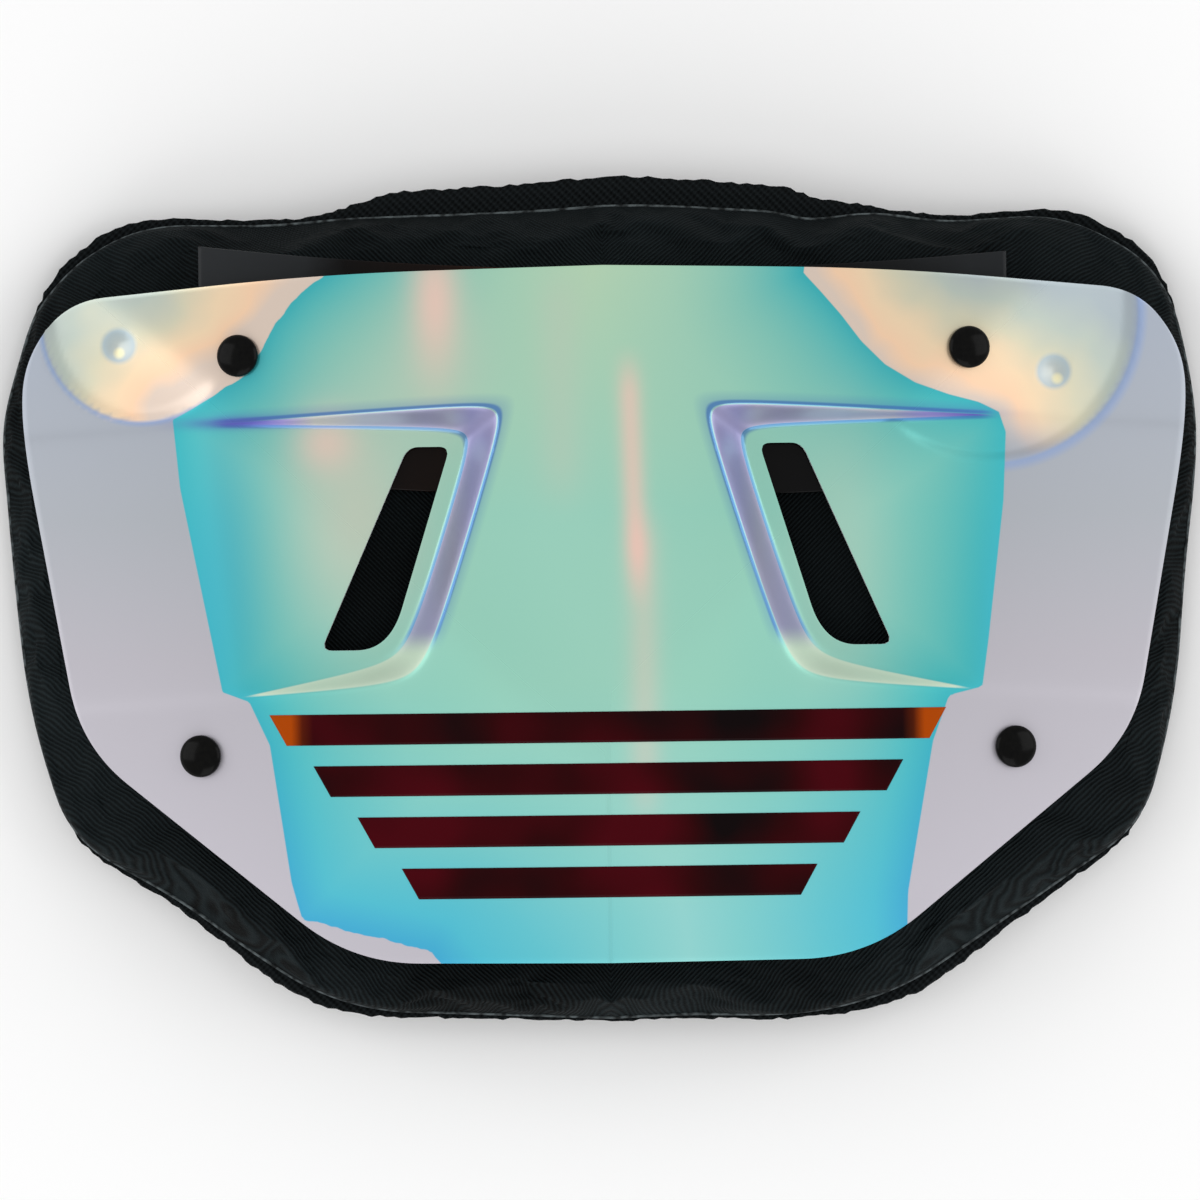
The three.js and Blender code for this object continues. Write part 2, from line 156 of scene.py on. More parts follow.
def rounded_outline(corners, half_width, half_height, middle):
    """A closed outline: straight sides, and at each corner a quadratic curve."""
    right = [(a * half_width, middle + b * half_height, c * half_height) for a, b, c in corners]
    ring = right + [(-x, y, r) for x, y, r in reversed(right) if x > 0]
    return np.concatenate([
        corner_curve(ring, i, CORNER_STEPS) if ring[i][2] else np.array([ring[i][:2]])
        for i in range(len(ring))
    ])


def run_of(line):
    """How far each point of a line is from its start, along the line."""
    return np.concatenate([[0], np.cumsum(np.hypot(*np.diff(line, axis=0).T))])


def spaced(outline, count):
    """Points at equal distances round a closed outline."""
    line = np.vstack([outline, outline[:1]])
    run = run_of(line)
    at = np.linspace(0, run[-1], count + 1)[:-1]
    return np.stack([np.interp(at, run, line[:, k]) for k in (0, 1)], axis=1)


def reach_along(outline, angles):
    """How far an outline stands from the middle in each direction."""
    dense = spaced(outline, OUTLINE_POINTS)
    directions = np.arctan2(dense[:, 1], dense[:, 0])
    return np.interp(angles, directions, np.hypot(*dense.T), period=2 * math.pi)


def ring_faces(rings, around, turned=False):
    """Quads between closed rings of points."""
    r, i = np.meshgrid(np.arange(rings - 1), np.arange(around), indexing="ij")
    a = r * around + i
    b = r * around + (i + 1) % around
    quads = np.stack([a, a + around, b + around, b], axis=-1).reshape(-1, 4)
    return quads[:, ::-1] if turned else quads


def make_piece(name, points, faces, material):
    """A mesh object at the origin from points in millimetres and lists of faces."""
    mesh = bpy.data.meshes.new(name)
    mesh.vertices.add(len(points))
    mesh.vertices.foreach_set("co", (np.asarray(points, float) * MM).astype(np.float32).ravel())
    loops = np.concatenate([f.ravel() for f in faces]).astype(np.int32)
    sizes = np.concatenate([np.full(len(f), f.shape[1]) for f in faces])
    starts = np.concatenate([[0], np.cumsum(sizes)[:-1]]).astype(np.int32)
    mesh.loops.add(len(loops))
    mesh.loops.foreach_set("vertex_index", loops)
    mesh.polygons.add(len(sizes))
    mesh.polygons.foreach_set("loop_start", starts)
    mesh.update(calc_edges=True)
    mesh.validate()
    mesh.polygons.foreach_set("use_smooth", np.full(len(sizes), True))
    if material is not None:
        mesh.materials.append(material)
    piece = bpy.data.objects.new(name, mesh)
    bpy.context.scene.collection.objects.link(piece)
    return piece


def linear(colour):
    """An sRGB hex colour as linear RGBA."""
    parts = np.array([int(colour[i : i + 2], 16) for i in (1, 3, 5)]) / 255
    parts = np.where(parts <= 0.04045, parts / 12.92, ((parts + 0.055) / 1.055) ** 2.4)
    return (*parts.tolist(), 1.0)


def new_material(name):
    """A material with an empty node tree and its Principled shader and output."""
    material = bpy.data.materials.new(name)
    material.use_nodes = True
    tree = material.node_tree
    tree.nodes.clear()
    shader = add(tree, "ShaderNodeBsdfPrincipled")
    add(tree, "ShaderNodeOutputMaterial", {"Surface": shader.outputs[0]})
    return material, tree, shader


def add(tree, kind, sockets=None, **settings):
    """One node, with its settings, and its sockets' values or links."""
    node = tree.nodes.new(kind)
    for name, value in settings.items():
        setattr(node, name, value)
    for name, value in (sockets or {}).items():
        put(tree, node, name, value)
    return node


def put(tree, node, name, value):
    """Set a socket's value, or link an output to it."""
    if isinstance(value, bpy.types.NodeSocket):
        tree.links.new(value, node.inputs[name])
    else:
        node.inputs[name].default_value = value


def ramp(tree, value, stops):
    """A colour ramp over hex colours or greys."""
    node = add(tree, "ShaderNodeValToRGB", {"Fac": value})
    bar = node.color_ramp
    while len(bar.elements) > 1:
        bar.elements.remove(bar.elements[-1])
    for i, (at, colour) in enumerate(stops):
        element = bar.elements[0] if i == 0 else bar.elements.new(at)
        element.position = at
        element.color = linear(colour) if isinstance(colour, str) else (colour,) * 3 + (1,)
    return node.outputs["Color"]


def math_of(tree, operation, a, b=0.0, c=None, clamp=False):
    """One arithmetic step."""
    sockets = {0: a, 1: b} if c is None else {0: a, 1: b, 2: c}
    node = add(tree, "ShaderNodeMath", sockets, operation=operation, use_clamp=clamp)
    return node.outputs[0]


def times(tree, a, b, clamp=False):
    """A product."""
    return math_of(tree, "MULTIPLY", a, b, clamp=clamp)


def scaled(tree, a, factor, plus, clamp=False):
    """A product and a sum."""
    return math_of(tree, "MULTIPLY_ADD", a, factor, plus, clamp)


def noise(tree, spot, scale, detail):
    """Noise from 0 to 1: its cells to the metre, and its layers of detail."""
    node = add(tree, "ShaderNodeTexNoise", {"Vector": spot, "Scale": scale, "Detail": detail})
    return node.outputs["Fac"]


def object_spot(tree):
    """The spot on the object, in metres."""
    return add(tree, "ShaderNodeTexCoord").outputs["Object"]


def split(tree, spot):
    """A spot's three parts."""
    return add(tree, "ShaderNodeSeparateXYZ", {0: spot}).outputs


def set_bump(tree, shader, height, strength, distance):
    """A fine relief in the surface's normal."""
    sockets = {"Strength": strength, "Distance": distance, "Height": height}
    put(tree, shader, "Normal", add(tree, "ShaderNodeBump", sockets).outputs[0])


def mix(tree, share, a, b):
    """Two colours mixed by a share."""
    node = add(tree, "ShaderNodeMix", data_type="RGBA")
    for socket, value in ((0, share), (6, a), (7, b)):
        put(tree, node, socket, linear(value) if isinstance(value, str) else value)
    return node.outputs[2]


def attribute(tree, name):
    """A number stored on the mesh's points."""
    return add(tree, "ShaderNodeAttribute", attribute_name=name).outputs["Fac"]


def store(piece, **values):
    """Numbers for each point of a mesh."""
    for name, value in values.items():
        layer = piece.data.attributes.new(name, "FLOAT", "POINT")
        layer.data.foreach_set("value", np.ascontiguousarray(value, np.float32).ravel())


RAYS = 240
FRONT_ROLL = 11
BACK_ROLL = 10
SEAM_ALLOWANCE = 0.5
SEAM_GAP = 0.15
RIM_LENGTH = 1200
ROLL_STEPS = 12
# The covers' simulation: frames, and for each half the air pressure, how much too large the
# cloth is cut, and how far a point may move in mm
CLOTH_FRAMES = 20
BACK_COVER = (3, 0.02, 3.0)
FRONT_COVER = (4, 0.022, 4.0)
# No stuffed and sewn rim is even: direction in degrees, spread in degrees, and how far out
UNEVEN_RIM = [
    (5, 10, -1.2), (47, 5, -3.0), (61, 4, -2.4), (84, 13, 1.4), (132, 6, -1.6), (149, 4, -1.4),
    (163, 5, 1.6), (186, 22, 2.9), (214, 7, -1.4), (292, 8, 1.6),
]


def uneven(angles):
    """The rim's unevenness: soft bumps and hollows, each a Gaussian of the direction."""
    degrees = np.degrees(angles) % 360
    away = [(degrees - at + 180) % 360 - 180 for at, _, _ in UNEVEN_RIM]
    return sum(out * np.exp(-((d / spread) ** 2)) for d, (_, spread, out) in zip(away, UNEVEN_RIM))


front_outline = rounded_outline(FRONT_CORNERS, HALF_CUSHION, HALF_CUSHION_HEIGHT, 0)
back_outline = rounded_outline(BACK_CORNERS, HALF_CUSHION, HALF_CUSHION_HEIGHT, 0)
rim_points = spaced(front_outline, RAYS)
ray_angles = np.arctan2(rim_points[:, 1], rim_points[:, 0])[::-1]
front_reach = reach_along(front_outline, ray_angles) + uneven(ray_angles)
back_reach = reach_along(back_outline, ray_angles) + uneven(ray_angles)
shared_reach = np.minimum(front_reach, back_reach) - SEAM_ALLOWANCE
core_reach = shared_reach - max(FRONT_ROLL, BACK_ROLL)
RAY = np.stack([np.cos(ray_angles), np.sin(ray_angles)], axis=1)
PLATE_CORNERS = [
    (0, 1, 0), (0.487, 0.984, 0.3), (0.92, 0.918, 0.11), (0.997, 0.745, 0.11), (1, 0.53, 0.2),
    (0.904, -0.365, 0.173), (0.441, -0.994, 0.192), (0, -1, 0),
]
plate_outline = rounded_outline(PLATE_CORNERS, HALF_PLATE, HALF_HEIGHT, -PLATE_LOWERED)
plate_reach = reach_along(plate_outline, ray_angles)

# The knit's ribs and its loops, in radians to the metre along x or y
KNIT_RIB = 2400
KNIT_LOOP = 3600


def knit_mesh():
    """Black polyester spacer mesh: matt yarn in coarse diagonal ribs."""
    material, tree, shader = new_material("black_spacer_mesh")
    spot = object_spot(tree)
    x, y, _ = split(tree, spot)
    rib = math_of(tree, "SINE", times(tree, math_of(tree, "ADD", x, y), KNIT_RIB))
    loop = math_of(tree, "SINE", times(tree, math_of(tree, "SUBTRACT", x, y), KNIT_LOOP))
    knit = scaled(tree, rib, 0.5, times(tree, loop, 0.4))
    height = math_of(tree, "ADD", knit, noise(tree, spot, 900, 4))
    set_bump(tree, shader, height, 0.7, 0.0006)
    shade = scaled(tree, height, 0.3, 0.35, clamp=True)
    put(tree, shader, "Base Color", ramp(tree, shade, [(0.15, "#030404"), (1, "#1f2426")]))
    shader.inputs["Roughness"].default_value = 0.9
    shader.inputs["Specular IOR Level"].default_value = 0.06
    return material


def fullness_of(share):
    """The height of a quarter circle at a share of its width from the rim."""
    return np.sqrt(np.clip(1 - (1 - share) ** 2, 0, 1))


def ring_of(reach, height):
    """One closed ring of points at a distance from the middle."""
    flat = RAY * np.asarray(reach)[:, None]
    return np.column_stack([flat, height(flat[:, 0], flat[:, 1])])


CORE_SHARES = np.concatenate([[0.03, 0.2, 0.36, 0.5, 0.6], np.linspace(0.68, 1, 13)])


def cushion_half(reach, roll, face, seam):
    """Rings of one half: its face from the middle to the rim, and back along the seam."""
    rings = [ring_of(core_reach * s, face) for s in CORE_SHARES]
    for share in np.cos(np.linspace(0, math.pi / 2, ROLL_STEPS + 1))[1:]:
        full = fullness_of(share)

        def height(x, y, full=full):
            """The height of one ring of the roll."""
            return seam(x, y) + (face(x, y) - seam(x, y)) * full

        rings.append(ring_of(reach - share * roll, height))
    rings.append(ring_of(shared_reach - 0.4, seam))
    rings += [ring_of(core_reach * s, seam) for s in (1, 0.7, 0.4, 0.03)]
    return np.array(rings)


def points_of(mesh):
    """A mesh's points as an array, in metres."""
    flat = np.zeros(len(mesh.vertices) * 3, np.float32)
    mesh.vertices.foreach_get("co", flat)
    return flat.reshape(-1, 3).astype(float)


def swell(rings, held, turned, pressure, growth, cap):
    """Cloth: the cover, cut a little large, fills out wherever it isn't held. Takes rings in mm
    and gives them back in mm, and no point moves further than the cap."""
    scene = bpy.context.scene
    points, faces = closed_rings(rings, turned)
    trial = make_piece("trial_cover", points, faces, None)
    before = points_of(trial.data)
    group = trial.vertex_groups.new(name="held")
    levels = np.round(np.clip(np.append(held.ravel(), [1, 1]), 0, 1) * 10).astype(int)
    for level in range(1, 11):
        group.add(np.nonzero(levels == level)[0].tolist(), level / 10, "REPLACE")
    cloth = trial.modifiers.new("cover", "CLOTH")
    cover = cloth.settings
    cover.quality = 4
    cover.mass = 0.25
    cover.tension_stiffness = 20
    cover.compression_stiffness = 12
    cover.bending_stiffness = 0.4
    cover.use_pressure = True
    cover.uniform_pressure_force = pressure
    cover.shrink_min = -growth
    cover.vertex_group_mass = group.name
    cover.effector_weights.gravity = 0
    cloth.collision_settings.use_collision = False
    cloth.point_cache.frame_start = 1
    cloth.point_cache.frame_end = CLOTH_FRAMES
    for frame_number in range(1, CLOTH_FRAMES + 1):
        scene.frame_set(frame_number)
    swollen = trial.evaluated_get(bpy.context.evaluated_depsgraph_get())
    moved = points_of(swollen.data) - before
    length = np.sqrt((moved**2).sum(axis=1))[:, None]
    limit = cap * MM
    moved *= limit * np.tanh(length / limit) / np.maximum(length, 1e-9)
    mesh = trial.data
    bpy.data.objects.remove(trial)
    bpy.data.meshes.remove(mesh)
    scene.frame_set(1)
    return rings + moved[: rings.shape[0] * rings.shape[1]].reshape(rings.shape) / MM


def doubled(grid):
    """Twice the rings and twice the rays: each new point is the cubic mean of its four
    neighbours, (9 (b + c) - a - d) / 16, round the ring and then from ring to ring."""
    across = (9 * (grid + np.roll(grid, -1, 1)) - np.roll(grid, 1, 1) - np.roll(grid, -2, 1)) / 16
    wide = np.stack([grid, across], axis=2).reshape(len(grid), -1, 3)
    ends = np.concatenate([wide[:1], wide, wide[-1:]])
    between_rings = (9 * (ends[1:-2] + ends[2:-1]) - ends[:-3] - ends[3:]) / 16
    tall = np.zeros((2 * len(wide) - 1, *wide.shape[1:]))
    tall[0::2] = wide
    tall[1::2] = between_rings
    return tall


def puckers(run, seed, pitch):
    """Gathers along the seam: sines of unlike lengths and phases round the rim, from -1 to 1."""
    random = np.random.default_rng(seed)
    around = RIM_LENGTH / pitch
    waves = [
        np.sin(2 * math.pi * (round(around * k) * run + random.random()))
        for k in (0.35, 0.61, 1.0, 1.37, 1.83)
    ]
    return np.clip(np.sum(waves, axis=0) / 2.2, -1, 1)


RUN = np.arange(2 * RAYS) / (2 * RAYS)
FLAT_RAY = np.append(RAY, np.zeros((RAYS, 1)), axis=1)
WIDE_RAY = doubled(np.repeat(FLAT_RAY[None], 2, axis=0))[0, :, :2]


def closed_rings(rings, turned):
    """Points and faces of rings that close in a small fan at each end."""
    count, around = rings.shape[:2]
    points = rings.reshape(-1, 3)
    ends = [rings[0].mean(axis=0), rings[-1].mean(axis=0)]
    points = np.vstack([points, ends])
    i = np.arange(around)
    last = (count - 1) * around
    near = np.stack([np.full(around, count * around), i, (i + 1) % around], axis=1)
    far = np.stack([np.full(around, count * around + 1), last + (i + 1) % around, last + i], axis=1)
    if turned:
        near, far = near[:, ::-1], far[:, ::-1]
    return points, [ring_faces(count, around, turned), near, far]


SEAM_RING = len(CORE_SHARES) + ROLL_STEPS - 1
back_rings = cushion_half(
    back_reach, BACK_ROLL, cushion_bottom, lambda x, y: cushion_middle(x, y) - SEAM_GAP
)
held = np.where(np.arange(len(back_rings))[:, None] >= SEAM_RING, 1.0, back_rings[..., 2] < 0.5)
back_rings = doubled(swell(back_rings, held, True, *BACK_COVER))

# Coarse loops make the mesh's rim knobbly; it never sinks into the floor
LOOP_PITCH = 9
LOOP_HEIGHT = 0.4
LOOP_RINGS = 15
near_rim = np.zeros(len(back_rings))
seam_at = 2 * SEAM_RING
near_rim[seam_at + 1 - LOOP_RINGS : seam_at + 1] = np.linspace(0.2, 1, LOOP_RINGS)
knobs = near_rim[:, None] * puckers(RUN, 5, LOOP_PITCH) * LOOP_HEIGHT
back_rings[..., :2] += knobs[..., None] * WIDE_RAY
back_rings[..., 2] = np.maximum(back_rings[..., 2], 0)
points, faces = closed_rings(back_rings, True)
cushion_back = make_piece("cushion_back_mesh", points, faces, knit_mesh())
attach(cushion_back, "root")
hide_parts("cushion_back")


# ---------------------------------------------------------------- cushion, front half
# The half under the plate: foam in a black polyester twill, woven in fine diagonal lines. Its
# cover is cut a little large and rolls down to the seam, where the thread draws it into puckers.
# The twill's ribs are in radians to the metre along x or y.
TWILL_RIB = 4200


def black_twill():
    """Black polyester twill: diagonal ribs a millimetre apart, with a slight sheen."""
    material, tree, shader = new_material("black_twill")
    spot = object_spot(tree)
    x, y, z = split(tree, spot)
    across = math_of(tree, "SUBTRACT", math_of(tree, "ABSOLUTE", x), y)
    across = math_of(tree, "ADD", across, times(tree, z, 0.7))
    drift = times(tree, noise(tree, spot, 25, 2), 4)
    rib = math_of(tree, "SINE", scaled(tree, across, TWILL_RIB, drift))
    height = scaled(tree, rib, 0.6, noise(tree, spot, 1400, 3))
    set_bump(tree, shader, height, 0.8, 0.0004)
    shade = scaled(tree, height, 0.45, noise(tree, spot, 14, 2))
    shade = scaled(tree, shade, 0.8, -0.2, clamp=True)
    yarn = ramp(tree, shade, [(0.1, "#030404"), (0.6, "#171e20"), (1, "#262e30")])
    put(tree, shader, "Base Color", yarn)
    shader.inputs["Roughness"].default_value = 0.75
    shader.inputs["Specular IOR Level"].default_value = 0.07
    return material


front_rings = cushion_half(
    front_reach, FRONT_ROLL, cushion_top, lambda x, y: cushion_middle(x, y) + SEAM_GAP
)
out_from_middle = np.hypot(front_rings[..., 0], front_rings[..., 1])
under_plate = smooth_share(plate_reach[None] - out_from_middle, -1, 5)
held = np.where(np.arange(len(front_rings))[:, None] < SEAM_RING, under_plate, 1.0)
front_rings = doubled(swell(front_rings, held, False, *FRONT_COVER))

# Soft creases in the border: middle, spread, and depth below the face
CREASES = [
    ((4.8, 108), (2.2, 7), -1.3), ((4.8, 109), (11, 1.6), -1.1), ((-9, 113), (7, 2.2), -0.7),
    ((17, 104.5), (9, 2), -0.6), ((-60, 106), (3, 9), -0.5), ((72, 107), (4, 8), -0.5),
    ((-172, 18), (6, 2.2), -1.3), ((-171, 4), (5, 3), -0.8), ((172, 20), (5, 2.5), -0.9),
    ((-30, -117), (9, 1.5), -0.7), ((22, -118), (14, 1.4), -0.8), ((60, -114), (3, 7), -0.6),
    ((-95, -100), (5, 5), -0.6), ((118, -88), (4, 6), -0.6), ((-135, 104), (6, 5), -0.6),
]
GATHER_PITCH = 17
GATHER_HEIGHT = 0.55
GATHER_RINGS = 22

# Gathers fade in from the seam and out at the face
rise = np.zeros(len(front_rings))
rise[seam_at - GATHER_RINGS : seam_at] = np.sin(np.linspace(0.05, 0.98, GATHER_RINGS) * math.pi)
dents = sum(
    depth * bell(front_rings[..., 0], front_rings[..., 1], middle, spread)
    for middle, spread, depth in CREASES
)
out_from_middle = np.hypot(front_rings[..., 0], front_rings[..., 1])
wide_plate = np.repeat(plate_reach, 2)
border = 1 - smooth_share(wide_plate[None] - out_from_middle, -1, 5)
border[seam_at + 1 :] = 0
gathers = rise[:, None] * puckers(RUN, 11, GATHER_PITCH) * GATHER_HEIGHT
front_rings[..., 2] += gathers + dents * border
points, faces = closed_rings(front_rings, False)
cushion_front = make_piece("cushion_front_twill", points, faces, black_twill())
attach(cushion_front, "root")
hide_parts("cushion_front")


# ---------------------------------------------------------------- seam
# The rim of the front half is turned under and stitched down, which leaves a narrow firm edge
# of twill along the seam. It shows as a fine pale line, partly lit by the lights and partly a
# painted highlight in its colour.
SEAM_EDGE_RADIUS = 0.55
SEAM_EDGE_SIDES = 8
SEAM_EDGE_SUNK = 0.1
SEAM_EDGE_RAISED = 0.35


def edge_tube(path, outwards, radius, around):
    """A round bar along a closed path, whose cross-section is spanned by outwards and up."""
    turn = np.linspace(0, 2 * math.pi, around, endpoint=False)
    side = np.column_stack([outwards, np.zeros(len(outwards))])
    out = np.cos(turn)[:, None, None] * side + np.sin(turn)[:, None, None] * np.array([0, 0, 1])
    return path[None] + radius * out


def stitched_edge():
    """Turned and stitched twill: grey-black, with a paler painted highlight, and the thread's
    dashes.
    """
    material, tree, shader = new_material("stitched_twill_edge")
    dash = noise(tree, object_spot(tree), 420, 1)
    # Painted highlight: the pale end of this ramp lightens the fold's edge.
    put(tree, shader, "Base Color", ramp(tree, dash, [(0.35, "#15191a"), (0.65, "#565e60")]))
    shader.inputs["Roughness"].default_value = 0.7
    shader.inputs["Specular IOR Level"].default_value = 0.2
    return material


rim_path = front_rings[seam_at].copy()
rim_path[:, :2] -= WIDE_RAY * SEAM_EDGE_SUNK
rim_path[:, 2] += SEAM_EDGE_RAISED
tube = edge_tube(rim_path, WIDE_RAY, SEAM_EDGE_RADIUS, SEAM_EDGE_SIDES)
tube_quads = ring_faces(SEAM_EDGE_SIDES + 1, 2 * RAYS) % (SEAM_EDGE_SIDES * 2 * RAYS)
seam_edge = make_piece(
    "cushion_seam_edge", tube.reshape(-1, 3), [tube_quads[:, ::-1]], stitched_edge()
)
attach(seam_edge, "root")


# ---------------------------------------------------------------- mounting band
# A strip of polished black plastic that lies on the cushion under the plate. The two upper
# studs pass through it, and it shows above the plate's top edge and through the vents.
BAND_HALF = 121
BAND_HEIGHT = 68
BAND_THICKNESS = 2
BAND_CLEARANCE = 1
BAND_RISE = 6.3
BAND_TILT = 0.0174
PLATE_TOP = 100
BAND_HIDDEN = 0.9
BAND_CELLS = (160, 40)


def polished_black():
    """Polished black PVC sheet: near black, with painted grey reflections at its ends and painted
    brown reflections between them.
    """
    material, tree, shader = new_material("polished_black_sheet")
    spot = object_spot(tree)
    x = split(tree, spot)[0]
    scuff_and_reflection_wobble = noise(tree, spot, 60, 4)
    put(tree, shader, "Roughness", scaled(tree, scuff_and_reflection_wobble, 0.16, 0.06))
    place = scaled(tree, scuff_and_reflection_wobble, 0.06, scaled(tree, x, 1 / 0.25, 0.5))
    # Painted reflections along the band: grey at its ends and brown near the middle, on near black.
    body = ramp(tree, place, [
        (0.03, "#2b2d2f"), (0.17, "#26282a"), (0.22, "#0a0808"), (0.33, "#140905"),
        (0.42, "#2c1306"), (0.5, "#0c0807"), (0.8, "#0a0a0b"), (0.97, "#232527"),
    ])
    put(tree, shader, "Base Color", body)
    shader.inputs["Specular IOR Level"].default_value = 0.1
    return material


def strip_grid(columns, rows):
    """The band's face: columns across, and rows down from a top edge that curves upwards."""
    u, v = np.meshgrid(np.linspace(-1, 1, columns), np.linspace(-1, 0, rows))
    x = u * BAND_HALF
    edge = PLATE_TOP - BAND_HIDDEN + BAND_RISE * u**2 - BAND_TILT * x
    y = edge + v * BAND_HEIGHT
    z = cushion_top(x, y) + BAND_CLEARANCE + BAND_THICKNESS
    return np.stack([x, y, z], axis=-1)


def grid_faces(columns, rows):
    """Quads of a grid of points, row by row."""
    r, c = np.meshgrid(np.arange(rows - 1), np.arange(columns - 1), indexing="ij")
    a = r * columns + c
    return np.stack([a, a + 1, a + columns + 1, a + columns], axis=-1).reshape(-1, 4)


def solidify(piece, thickness, rim_slot=0, bevel=0.0):
    """A wall below a surface, with its rims rounded when a bevel is given."""
    wall = piece.modifiers.new("wall", "SOLIDIFY")
    wall.thickness = thickness * MM
    wall.offset = -1
    wall.use_even_offset = True
    wall.material_offset_rim = rim_slot
    if bevel:
        edge = piece.modifiers.new("edge", "BEVEL")
        edge.width = bevel * MM
        edge.segments = 2
        edge.limit_method = "ANGLE"
        edge.angle_limit = math.radians(50)


band_grid = strip_grid(*BAND_CELLS)
mount_band = make_piece(
    "mount_band_strip", band_grid.reshape(-1, 3), [grid_faces(*BAND_CELLS)], polished_black()
)
solidify(mount_band, BAND_THICKNESS, bevel=0.4)
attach(mount_band, "root")
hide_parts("mount_band")


# ---------------------------------------------------------------- shell
# The plate: a sheet of polycarbonate formed over a crown, with two scoops, a vent cut through
# each, and two dishes pressed into its upper corners, under a colour-shifting mirror film.
SCOOP_INNER = 41.5
SCOOP_OUTER = 114.7
SCOOP_TOP = 59
SCOOP_HEIGHT = 83
SCOOP_MIDDLE = SCOOP_TOP - SCOOP_HEIGHT / 2
SCOOP_DEPTH = 10
WALL_RUN = 6.6
INNER_LEAN = 0.31
OUTER_LEAN = 0.11
EDGE_FALL = 0.06
TOP_RADIUS = 5.5
BOTTOM_RADIUS = 9
FOOT_RADIUS = 2.2
SHOULDER_RADIUS = 1.1
VENT_FROM_WALL = 13.6
VENT_WIDTH = 16.5
VENT_FLARE = 0.13
VENT_TOP = 46.5
VENT_BOTTOM = -14
VENT_RADIUS = 3.4
HEEL_RADIUS = 13
# Dishes: side, middle, radius, and the dimple's middle
DISHES = [
    (-1, (-138.1, 85.0), 30.3, (-145.0, 78.0)),
    (1, (115.0, 85.0), 45.4, (134.6, 67.0)),
]
DISH_DEPTH = 1.2
DISH_WALL = 4
DISH_LEAN = 1.5
DIMPLE_DEPTH = 1.1
DIMPLE_RADIUS = 4.6
WELD_REACH = 0.02


def inner_edge(y):
    """Where a scoop's inner wall starts, leaning towards the middle at the top."""
    return SCOOP_INNER - INNER_LEAN * (y - SCOOP_MIDDLE)


def outer_edge(y):
    """Where a scoop's ramp starts."""
    return SCOOP_OUTER + OUTER_LEAN * (y - SCOOP_MIDDLE)


def scoop_inside(x, y):
    """Distance in from a scoop's shoulder: the least from its three walls, rounded at corners."""
    across = np.abs(x)
    upper = SCOOP_TOP - EDGE_FALL * (across - SCOOP_INNER)
    from_inner = (across - inner_edge(y)) / math.hypot(1, INNER_LEAN)
    inside = soft_min(from_inner, upper - y, TOP_RADIUS)
    return soft_min(inside, y - upper + SCOOP_HEIGHT, BOTTOM_RADIUS)


def scoop_floor(x, y):
    """The ramp: level at the wall's foot and rising to nothing at the outer edge."""
    foot = inner_edge(y) + WALL_RUN
    slope = (outer_edge(y) - np.abs(x)) / (outer_edge(y) - foot)
    return SCOOP_DEPTH * soft_min(soft_max(slope, 0, 0.03), 1, 0.03)


def scoop_depth(x, y):
    """A scoop is as deep as its ramp, or as its walls allow, with a rounded foot and shoulder."""
    wall = scoop_inside(x, y) * SCOOP_DEPTH / WALL_RUN
    depth = soft_min(scoop_floor(x, y), wall, FOOT_RADIUS)
    return np.maximum(0, soft_max(depth, 0, SHOULDER_RADIUS) - 0.05)


def dish_depth(x, y):
    """Round dishes that are deepest at their lower outer side, and a dimple in each."""
    depth = np.zeros_like(x)
    for side, (cx, cy), radius, (dx, dy) in DISHES:
        inside = radius - np.hypot(x - cx, y - cy)
        outward = side * (x - cx) - DISH_LEAN * (y - cy)
        depth += DISH_DEPTH * smooth_share(outward, 0, radius) * smooth_share(inside, 0, DISH_WALL)
        away = np.hypot(x - dx, y - dy) / DIMPLE_RADIUS
        depth += DIMPLE_DEPTH * np.maximum(0, 1 - away**2) ** 2
    return depth


def plate_top(x, y):
    """The plate's face: the crown less the scoops and the dishes."""
    return PEAK - crown_drop(x, y) - scoop_depth(x, y) - dish_depth(x, y)


def vent_outline():
    """The right vent: a slot along the scoop's wall, from its upper inner corner clockwise."""
    def inner(y):
        """The side towards the scoop's wall."""
        return inner_edge(y) + VENT_FROM_WALL

    def outer(y):
        """The side towards the ramp."""
        return inner(y) + VENT_WIDTH - VENT_FLARE * (y - SCOOP_MIDDLE)

    return [
        (inner(VENT_TOP), VENT_TOP, VENT_RADIUS),
        (outer(VENT_TOP), VENT_TOP, VENT_RADIUS),
        (outer(VENT_BOTTOM), VENT_BOTTOM, VENT_RADIUS),
        (inner(VENT_BOTTOM), VENT_BOTTOM, HEEL_RADIUS),
    ]


def vent_sides(corners):
    """The slot's four sides, each from the middle of one corner to the middle of the next."""
    half = CORNER_STEPS
    curves = [corner_curve(corners, i, 2 * half + 1) for i in range(4)]
    return [np.vstack([curves[i][half:], curves[(i + 1) % 4][: half + 1]]) for i in range(4)]


def between(line, shares):
    """Points at shares of the length of a line."""
    run = run_of(line)
    return np.stack([np.interp(shares * run[-1], run, line[:, k]) for k in (0, 1)], axis=1)


def coons(low, high, left, right, u, v):
    """A patch between four lines: the two rulings less the plane through the corners."""
    c0, c1 = between(low, u)[None], between(high, u)[None]
    d0, d1 = between(left, v)[:, None], between(right, v)[:, None]
    u, v = u[None, :, None], v[:, None, None]
    ruled = (1 - v) * c0 + v * c1 + (1 - u) * d0 + u * d1
    corners = (1 - v) * ((1 - u) * low[0] + u * low[-1]) + v * ((1 - u) * high[0] + u * high[-1])
    return ruled - corners


def packed_shares(count, near, length, part):
    """Shares of a length, with a part of the cells packed into its last stretch."""
    dense = int(count * part)
    sparse = np.linspace(0, 1 - near / length, count - dense + 1)
    return np.concatenate([sparse, np.linspace(1 - near / length, 1, dense + 1)[1:]])


